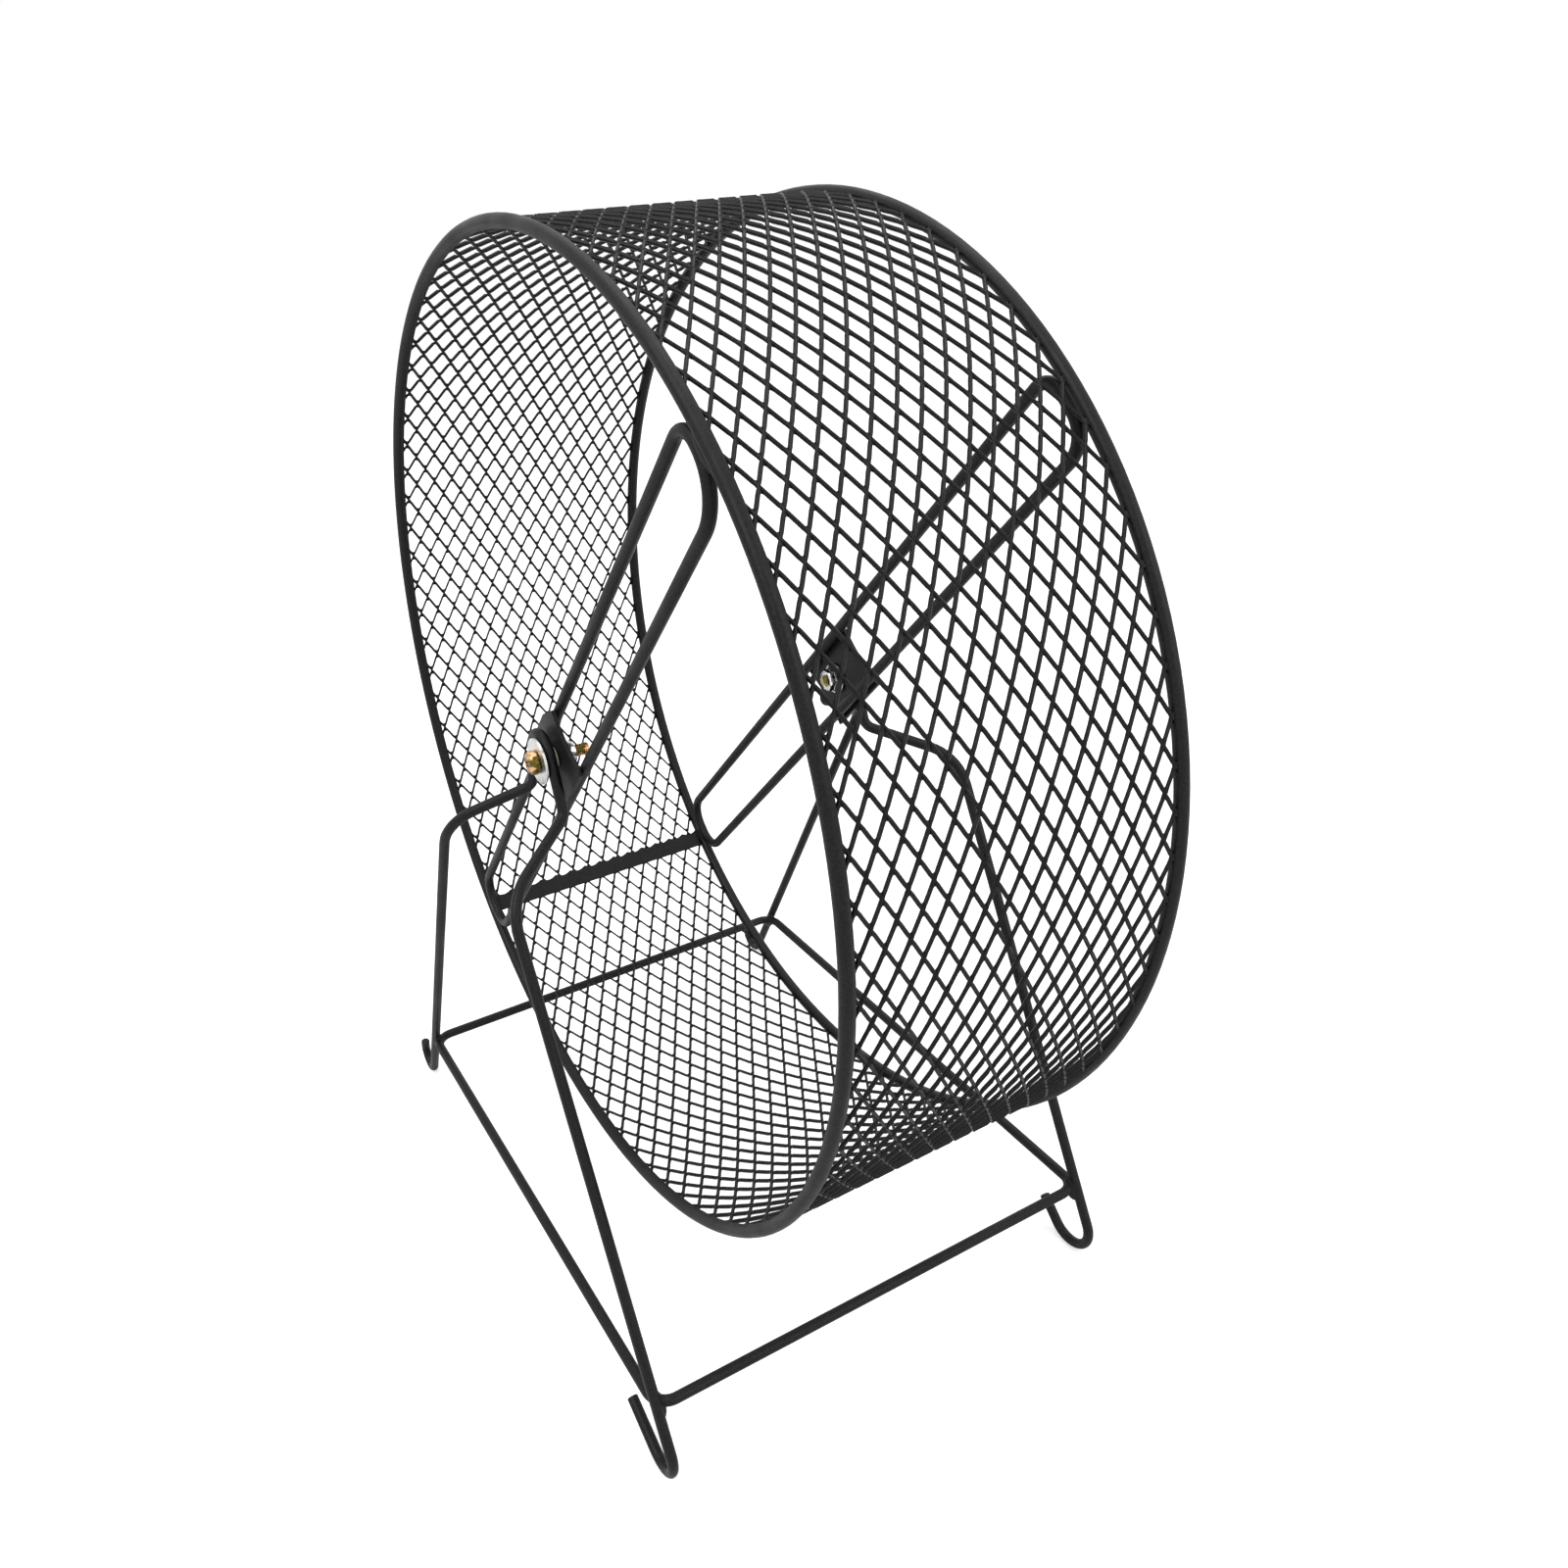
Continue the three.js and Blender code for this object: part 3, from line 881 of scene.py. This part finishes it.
@dataclass
class Drum:
    """Expanded metal between two rims, with the strap over its seam."""

    openings_round: int = 78
    columns: int = 14
    strand: float = 0.42 * MM
    sheet: float = 0.64 * MM
    strand_tilt: float = radians(60)
    strand_overrun: float = 1.5
    middle_share: float = 0.1
    tip_fill: float = 0.95 * MM
    first_bond: float = radians(2.04)
    row_shift: float = -1.1 * MM
    bond_merge: float = 0.05 * MM
    rim_sides: int = 18
    rim_steps: int = 160
    strap_angle: float = radians(-132.6)
    strap_width: float = 6.6 * MM
    strap_sheet: float = 1 * MM
    strap_edge: float = 0.18 * MM
    scallop_depth: float = 1 * MM

    def __post_init__(self) -> None:
        """Reads the rims from the frame."""
        low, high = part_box("rear_rim")
        self.rim_wire = high.y - low.y
        self.rim_radius = high.x - self.rim_wire / 2
        self.rim_plane = (low.y + high.y) / 2
        self.half_pitch = self.rim_radius * tan(pi / self.openings_round)
        self.half_width = self.rim_plane - self.rim_wire / 4
        self.row = self.half_width / self.columns

    def rim(self, side: Side) -> Piece:
        """Spins the round wire of one rim.

        Args:
            side: The end of the axle.

        Returns:
            The rim.
        """
        bpy.ops.mesh.primitive_circle_add(
            vertices=self.rim_sides,
            radius=self.rim_wire / 2,
            location=by_axle(side, self.rim_plane, self.rim_radius),
        )
        edit_all()
        bpy.ops.mesh.spin(steps=self.rim_steps, angle=2 * pi, center=axle_centre(), axis=(0, 1, 0))
        leave_edit()
        return close_up(named_active(f"{side.label}_rim_wire"))

    def strand_pair(self) -> Piece:
        """Makes the two strands that leave one bond, flat, as a sheet without thickness.

        Returns:
            The pair, round the origin.
        """
        reach = hypot(self.half_pitch, self.row)
        lean = atan2(self.row, self.half_pitch)
        before_trim = (self.strand_overrun * reach, self.strand)
        middle = (self.half_pitch / 2, self.row / 2)
        piece = flat_strip("strand_pair", before_trim, (3, 1), middle, lean)
        far_bond = Vector((self.half_pitch, self.row, 0))
        for place, sign in ((Vector(), -1), (far_bond, 1)):
            trim(place, Vector((sign, 0, 0)))
            trim(place, Vector((0, sign, 0)))
        self.shape_strand(piece)
        apply_modifier(piece, "MIRROR", merge_threshold=TOUCHING)
        return piece

    def shape_strand(self, piece: Piece) -> None:
        """Tilts a strand as a louvre, curves it with the drum and blunts the openings' sharp ends.

        Args:
            piece: The flat strand, from its bond at the origin to the next one.
        """
        slope = self.row / self.half_pitch
        for place in [vertex.co.copy() for vertex in piece.data.vertices]:
            offset = place.y - place.x * slope
            on_bond = min(place.y, self.row - place.y) < TOUCHING
            lift = 0 if on_bond else offset * tan(self.strand_tilt)
            drop = place.x**2 / 2 / self.rim_radius
            fill = 0
            if on_bond and abs(offset) > self.middle_share * self.strand:
                fill = self.tip_fill if place.y < self.row / 2 else -self.tip_fill
            nudge(piece, place, (fill, 0, lift - drop))
        leave_edit()

    def two_columns(self) -> Piece:
        """Lays two staggered columns of strand pairs from rim to rim.

        Returns:
            The columns, which repeat round the drum.
        """
        even = self.strand_pair()
        repeat(even, self.columns + 1, 2 * self.row)
        bpy.ops.object.duplicate(linked=False)
        odd = named_active("odd_rows")
        even.location.y = self.row_shift - self.half_width
        odd.location.y = even.location.y + self.row
        for number, rows in enumerate((even, odd)):
            settle(rows)
            for side in Side:
                trim(Vector((0, side.value * self.half_width, 0)), Vector((0, side.value, 0)))
            angle = self.first_bond + number * pi / self.openings_round
            place_on_drum(rows, angle, self.rim_radius)
        make_active(even)
        odd.select_set(True)
        bpy.ops.object.join()
        return named_active("mesh_band_lattice")

    def mesh_band(self) -> Piece:
        """Repeats the columns round the whole drum, and gives the strands their thickness.

        Returns:
            The band.
        """
        band = self.two_columns()
        centre = axle_centre()
        turn = Matrix.Rotation(2 * pi / self.openings_round, 4, "Y")
        pivot = add_object("turn_round_axle", None)
        pivot.matrix_world = Matrix.Translation(centre) @ turn @ Matrix.Translation(-centre)
        bpy.context.view_layer.update()
        apply_modifier(
            band,
            "ARRAY",
            count=self.openings_round,
            use_relative_offset=False,
            use_object_offset=True,
            offset_object=pivot,
        )
        bpy.data.objects.remove(pivot)
        edit_all()
        bpy.ops.mesh.remove_doubles(threshold=self.bond_merge)
        leave_edit()
        apply_modifier(band, "SOLIDIFY", thickness=self.sheet, offset=0)
        return close_up(band, pi, SAME_POINT)

    def seam_strap(self) -> Piece:
        """Makes the uncut edge strip of the sheet, with its scalloped side.

        Returns:
            The strap.
        """
        length = 2 * (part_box("seam_strap")[1].y)
        pitch = length / self.columns
        size, middle = (self.strap_width, pitch), (0, (pitch - length) / 2)
        piece = flat_strip("seam_strap_strip", size, (2, 8), middle)
        edge = self.strap_width / 2 - TOUCHING
        for place in [v.co.copy() for v in piece.data.vertices if v.co.x > edge]:
            share = (place.y + length / 2) / pitch
            nudge(piece, place, (-self.scallop_depth * sin(pi * share), 0, 0))
        leave_edit()
        repeat(piece, self.columns, pitch, use_merge_vertices=True, merge_threshold=TOUCHING)
        apply_modifier(piece, "SOLIDIFY", thickness=self.strap_sheet, offset=0)
        apply_modifier(piece, "BEVEL", width=self.strap_edge, segments=1, limit_method="ANGLE")
        inner = self.rim_radius - self.strand / 2
        place_on_drum(piece, self.strap_angle, inner - self.strap_sheet / 2)
        return close_up(piece)

    def build(self, paint: Paintshop) -> None:
        """Makes the drum.

        Args:
            paint: The finishes.
        """
        for side in Side:
            paint.hand_over(self.rim(side), Body.WHEEL, f"{side.label}_rim")
        paint.hand_over(self.mesh_band(), Body.WHEEL, "mesh_band")
        paint.hand_over(self.seam_strap(), Body.WHEEL, "seam_strap")


# Spokes


@dataclass
class Spokes:
    """A long closed loop and a hub plate across one side of the drum, with their welds."""

    side: Side
    front_lean: float = radians(42)
    rear_lean: float = radians(43.7)
    half_width: float = 9.5 * MM
    corner_radius: float = 8 * MM
    tight_radius: float = 6 * MM
    wide_radius: float = 12 * MM
    rim_gap: float = 0.3 * MM
    bead: Vector = Vector((0.5, 0.62, 1.9))

    def __post_init__(self) -> None:
        """Reads the loop's plane, wire and reach from the frame, and leans it."""
        low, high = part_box("rear_spoke_loop")
        self.wire = high.y - low.y
        self.middle = by_axle(self.side, (low.y + high.y) / 2)
        rim_low, rim_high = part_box("rear_rim")
        rim_inner = rim_high.x - (rim_high.y - rim_low.y)
        reach = rim_inner - self.rim_gap - self.wire / 2 - self.corner_radius
        self.half_length = self.corner_radius + sqrt(
            reach**2 - (self.half_width - self.corner_radius) ** 2
        )
        lean = self.front_lean if self.side is Side.FRONT else self.rear_lean
        self.along = Vector((sin(lean), 0, cos(lean)))
        self.across = Vector((cos(lean), 0, -sin(lean)))

    def loop(self) -> Piece:
        """Bends the closed loop.

        Returns:
            The loop.
        """
        along, across = self.along * self.half_length, self.across * self.half_width
        wide = self.wide_radius if self.side is Side.FRONT else self.corner_radius
        corners = [
            Corner(self.middle + a * along + b * across, radius)
            for a, b, radius in (
                (1, 1, wide),
                (1, -1, self.tight_radius),
                (-1, -1, self.corner_radius),
                (-1, 1, self.corner_radius),
            )
        ]
        name = f"{self.side.label}_loop_wire"
        return WireBender(self.wire).wire(name, self.middle + across, corners, None)

    def weld(self, label: str, sign: int) -> Piece:
        """Lays a bead where one end of the loop touches the rim.

        Args:
            label: The end.
            sign: -1 for the low end, 1 for the high one.

        Returns:
            The bead.
        """
        place = self.middle + sign * self.along * (self.half_length + self.wire / 2)
        name = f"{self.side.label}_{label}_rim_weld"
        return weld_bead(name, place, self.across, self.bead * self.wire, 5 + sign)

    def build(self, paint: Paintshop) -> None:
        """Makes the loop and its welds, and dresses the hub plate.

        Args:
            paint: The finishes.
        """
        name = self.side.label
        paint.hand_over(self.loop(), Body.WHEEL, f"{name}_spoke_loop")
        for label, sign in (("low", -1), ("high", 1)):
            paint.hand_over(self.weld(label, sign), Body.WHEEL)
        paint.dress(frame["nodes"][f"{name}_hub_plate"], Finish.COAT)


# Hub


@dataclass
class Hub:
    """Screw, washers, bush and nut on one end of the axle."""

    side: Side
    screw_radius: float = 1.75 * MM
    thread_pitch: float = 0.6 * MM
    thread_depth: float = 0.3 * MM
    thread_gap: float = 0.05 * MM
    thread_start: float = 0.3
    thread_shares: tuple[float, ...] = (0, 0.3, 0.4, 0.7)
    plain_shank: float = 1 * MM
    head_height: float = 2.6 * MM
    head_wall: float = 0.35
    head_dome: float = 0.65
    crown_flat: float = 0.55
    crown_curve: float = 0.45
    crown_steps: int = 6
    recess_reach: float = 1.9 * MM
    recess_width: float = 0.95 * MM
    recess_depth: float = 1.7 * MM
    recess_taper: float = 0.35
    recess_turns: tuple[float, float] = (radians(20), radians(110))
    bore_gap: float = 0.3 * MM
    neck_radius: float = 3.3 * MM
    neck_length: float = 1.6 * MM
    sleeve_radius: float = 4.6 * MM
    nut_chamfer: float = 0.45 * MM
    nut_face_cut: float = 0.1 * MM
    nut_edge: float = 0.08 * MM
    edge: float = 0.15 * MM
    coarse_steps: int = 48

    def span(self, label: str) -> tuple[float, float, float]:
        """Reads a turned node's place along the axle and its radius from the frame.

        Args:
            label: The node's name without the side.

        Returns:
            The inner and outer distance from the drum's middle, and the radius.
        """
        low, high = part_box(f"{self.side.label}_{label}")
        near, far = sorted((abs(low.y), abs(high.y)))
        return near, far, (high.x - low.x) / 2

    def turned(self, label: str, profile: Profile, near: float, steps: int = 64) -> Piece:
        """Turns a profile round the axle, as on a lathe.

        Args:
            label: The piece's name without the side.
            profile: Radius and distance from the inner end, point by point.
            near: The distance of the inner end from the drum's middle.
            steps: The facets round the axle.

        Returns:
            The closed turned piece.
        """
        places = [by_axle(self.side, near + along, radius) for radius, along in profile]
        bpy.ops.mesh.primitive_plane_add(size=MM, location=places[0])
        edit_all()
        bpy.ops.mesh.merge(type="CENTER")
        for here, after in zip(places, places[1:]):
            WireBender.run(after - here)
        bpy.ops.mesh.select_all(action="SELECT")
        bpy.ops.mesh.spin(steps=steps, angle=2 * pi, center=axle_centre(), axis=(0, 1, 0))
        leave_edit()
        return close_up(named_active(f"{self.side.label}_{label}"))

    def washer(self, label: str) -> Piece:
        """Turns a washer with slightly rounded edges.

        Args:
            label: The node's name without the side.

        Returns:
            The washer.
        """
        near, far, radius = self.span(label)
        bore = self.screw_radius + self.bore_gap
        profile = [(bore, self.edge), (bore + self.edge, 0), (radius - self.edge, 0), (radius, self.edge)]
        profile += [(distance, far - near - along) for distance, along in reversed(profile)]
        return self.turned(f"{label}_ring", [*profile, profile[0]], near)

    def bush(self) -> Piece:
        """Turns the pale bush, a narrow neck at the plate and a sleeve that rides in the arch.

        Returns:
            The bush.
        """
        near, far, _ = self.span("hub_bush")
        bore = self.screw_radius + self.bore_gap
        depth = far - near
        return self.turned("bush_sleeve", [
            (bore, 0),
            (self.neck_radius - self.edge, 0),
            (self.neck_radius, self.edge),
            (self.neck_radius, self.neck_length - 2 * self.edge),
            (self.sleeve_radius, self.neck_length),
            (self.sleeve_radius, depth - self.edge),
            (self.sleeve_radius - self.edge, depth),
            (bore, depth),
            (bore, 0),
        ], near)

    def screw(self) -> Piece:
        """Turns the pan head screw with its thread, and cuts the cross recess.

        Returns:
            The screw.
        """
        near, far, head = self.span("hub_screw")
        shank = far - near - self.head_height
        crest, root = self.screw_radius, self.screw_radius - self.thread_depth
        profile = [(0, 0), (root, 0)]
        for i in range(int((shank - 2 * self.plain_shank) / self.thread_pitch)):
            start = (i + self.thread_start) * self.thread_pitch
            for radius, share in zip((root, crest, crest, root), self.thread_shares):
                profile.append((radius, start + share * self.thread_pitch))
        profile += [
            (crest, shank - self.plain_shank),
            (crest, shank),
            (head - self.edge, shank),
            (head, shank + self.edge),
        ]
        wall, dome = self.head_wall * self.head_height, self.head_dome * self.head_height
        for i in range(self.crown_steps + 1):
            angle = i / self.crown_steps * pi / 2
            radius = head * (self.crown_flat + self.crown_curve * cos(angle))
            profile.append((radius, shank + wall + dome * sin(angle)))
        profile.append((0, shank + self.head_height))
        piece = self.turned("screw_body", profile, near, self.coarse_steps)
        for turn in self.recess_turns:
            cut(piece, self.recess_blade(turn, far))
        smooth(piece, HARDWARE_EDGE)
        return piece

    def recess_blade(self, turn: float, top: float) -> Piece:
        """Makes one of the two tapered blades that cut a cross recess into a screw's head.

        Args:
            turn: Its turn round the axle.
            top: The distance of the head's top from the drum's middle.

        Returns:
            The blade.
        """
        bpy.ops.mesh.primitive_cube_add(
            size=1,
            location=by_axle(self.side, top),
            rotation=(0, turn, 0),
            scale=(2 * self.recess_reach, 2 * self.recess_depth, self.recess_width),
        )
        blade = named_active("recess_blade")
        settle(blade)
        inner = top - 0.5 * self.recess_depth
        select_parts(blade, "VERT", lambda vertex: abs(vertex.co.y) < inner)
        narrowed = (self.recess_taper, 1, self.recess_taper)
        bpy.ops.transform.resize(value=narrowed, center_override=axle_centre())
        leave_edit()
        return blade

    def shade_recess(self, piece: Piece, paint: Paintshop) -> None:
        """Paints shade on the walls and the floor of a screw's recess, with a darker material.

        Args:
            piece: The dressed screw.
            paint: The finishes.
        """
        piece.data.materials.append(paint.materials[Finish.RECESS])
        centre = axle_centre()
        top = max(abs(vertex.co.y) for vertex in piece.data.vertices)
        for face in piece.data.polygons:
            away = face.center - centre
            sunk = top - abs(away.y)
            near_axle = hypot(away.x, away.z) < self.recess_reach
            if near_axle and TOUCHING < sunk < self.recess_depth + TOUCHING:
                face.material_index = 1

    def nut(self) -> Piece:
        """Makes a hexagon nut with chamfered corners.

        Returns:
            The nut.
        """
        near, far, radius = self.span("hex_nut")
        depth = far - near
        middle = by_axle(self.side, (near + far) / 2)
        bpy.ops.mesh.primitive_cylinder_add(
            vertices=6, radius=radius, depth=depth, location=middle, rotation=(pi / 2, 0, 0)
        )
        piece = named_active(f"{self.side.label}_nut_body")
        edit_all()
        bpy.ops.transform.rotate(value=radians(30), orient_axis="Y", center_override=middle)
        leave_edit()
        settle(piece)
        face = radius * cos(pi / 6) - self.nut_face_cut
        corner = radius + self.thread_gap
        half = [(0, 0), (face, 0), (corner, self.nut_chamfer)]
        half += [(distance, depth - along) for distance, along in reversed(half)]
        cut(piece, self.turned("nut_barrel", half, near), "INTERSECT")
        bore = self.screw_radius + self.thread_gap
        hole = [(0, -depth), (bore, -depth), (bore, 2 * depth), (0, 2 * depth)]
        cut(piece, self.turned("nut_hole", hole, near, self.coarse_steps))
        apply_modifier(piece, "BEVEL", width=self.nut_edge, segments=2, limit_method="ANGLE")
        smooth(piece, HARDWARE_EDGE)
        return piece

    def build(self, paint: Paintshop) -> None:
        """Makes the hardware on this end.

        Args:
            paint: The finishes.
        """
        front = self.side is Side.FRONT
        screw = self.screw()
        # The rear inner washer's dark face and the dark patches on the nuts and the front screw head are
        # painted reflections; the recess is painted shade.
        for piece, finish, label in (
            (screw, Finish.COPPERY if front else Finish.OLIVE, "hub_screw"),
            (self.bush(), Finish.NYLON, "hub_bush"),
            (self.nut(), Finish.PATCHY, "hex_nut"),
            (self.washer("outer_washer"), Finish.BRIGHT, "outer_washer"),
            (self.washer("inner_washer"), Finish.BRIGHT if front else Finish.DULL_FACE, "inner_washer"),
        ):
            paint.hand_over(piece, Body.WHEEL, f"{self.side.label}_{label}", finish=finish)
        self.shade_recess(screw, paint)


# Studio


@dataclass
class Studio:
    """Pale floor, white surroundings, soft lamps and the camera."""

    eye_from_axle: Vector = Vector((305.0, -162.0, 158.0)) * MM
    look_azimuth: float = radians(62.1)
    look_elevation: float = radians(27.75)
    roll: float = radians(-3.19)
    image_width: float = 1600
    focal_pixels: float = 1301.9
    principal_x: float = 722.0
    principal_y: float = 801.2
    sensor_width: float = 36
    clip_start: float = 0.01
    floor_size: float = 6
    floor_glow: float = 0.5
    ambient: float = 0.55

    def camera(self) -> None:
        """Puts the camera at the photograph's viewpoint."""
        data = bpy.data.cameras.new("photo_camera")
        camera = add_object("photo_camera", data)
        azimuth, elevation = self.look_azimuth, self.look_elevation
        forward = Vector((-sin(azimuth) * cos(elevation), cos(azimuth) * cos(elevation), -sin(elevation)))
        camera.rotation_mode = "QUATERNION"
        upright = forward.to_track_quat("-Z", "Y")
        camera.rotation_quaternion = upright @ Quaternion((0, 0, 1), self.roll)
        camera.location = axle_centre() + self.eye_from_axle
        data.sensor_width = self.sensor_width
        data.lens = self.sensor_width * self.focal_pixels / self.image_width
        data.shift_x = (self.image_width / 2 - self.principal_x) / self.image_width
        data.shift_y = (self.principal_y - self.image_width / 2) / self.image_width
        data.clip_start = self.clip_start
        bpy.context.scene.camera = camera

    def floor(self) -> None:
        """Lays the pale floor, which keeps the object's shadow."""
        bpy.ops.mesh.primitive_plane_add(size=self.floor_size)
        floor = named_active("floor")
        material = bpy.data.materials.new("floor_pale")
        material.use_nodes = True
        nodes = material.node_tree.nodes
        shader = nodes["Principled BSDF"]
        shader.inputs["Base Color"].default_value = (0.9, 0.9, 0.9, 1)
        shader.inputs["Roughness"].default_value = 0.9
        shader.inputs["Specular IOR Level"].default_value = 0
        shader.inputs["Emission Color"].default_value = (1, 1, 1, 1)
        path = nodes.new("ShaderNodeLightPath")
        seen = nodes.new("ShaderNodeMath")
        seen.operation = "MULTIPLY"
        seen.inputs[1].default_value = self.floor_glow
        link(
            material.node_tree,
            (path, "Is Camera Ray", seen, 0),
            (seen, "Value", shader, "Emission Strength"),
        )
        floor.data.materials.append(material)

    def surroundings(self) -> None:
        """Makes the world white to the camera and in reflections, and softer as light."""
        world = bpy.data.worlds.new("white_studio")
        bpy.context.scene.world = world
        world.use_nodes = True
        nodes = world.node_tree.nodes
        background = nodes["Background"]
        background.inputs["Color"].default_value = (1, 1, 1, 1)
        path = nodes.new("ShaderNodeLightPath")
        either = nodes.new("ShaderNodeMath")
        either.operation = "MAXIMUM"
        level = nodes.new("ShaderNodeMapRange")
        level.inputs["To Min"].default_value = self.ambient
        level.inputs["To Max"].default_value = 1
        link(
            world.node_tree,
            (path, "Is Camera Ray", either, 0),
            (path, "Is Glossy Ray", either, 1),
            (either, "Value", level, "Value"),
            (level, "Result", background, "Strength"),
        )

    def lamps(self) -> None:
        """Hangs soft square lamps round the wheel, which look at it."""
        for name, place, size, power in (
            ("key_lamp", Vector((0.2, -1.2, 1.5)), 1.2, 14),
            ("fill_lamp", Vector((1.4, 0.6, 0.9)), 1.4, 8),
            ("top_lamp", Vector((-0.4, 0.3, 1.8)), 1.6, 12),
        ):
            data = bpy.data.lights.new(name, "AREA")
            data.size = size
            data.energy = power
            lamp = add_object(name, data)
            lamp.location = axle_centre() + place
            lamp.rotation_euler = (-place).to_track_quat("-Z", "Y").to_euler()

    def build(self) -> None:
        """Sets the whole studio up."""
        self.camera()
        self.floor()
        self.surroundings()
        self.lamps()
        bpy.context.scene.view_settings.view_transform = "Standard"


def main() -> None:
    """Builds the piece groups in order."""
    logging.basicConfig(level=logging.INFO, format="%(name)s: %(message)s")
    Studio().build()
    paint = Paintshop()
    WireStand().build(paint)
    Drum().build(paint)
    for assembly in (Spokes, Hub):
        for side in Side:
            assembly(side).build(paint)


if __name__ == "__main__":
    main()
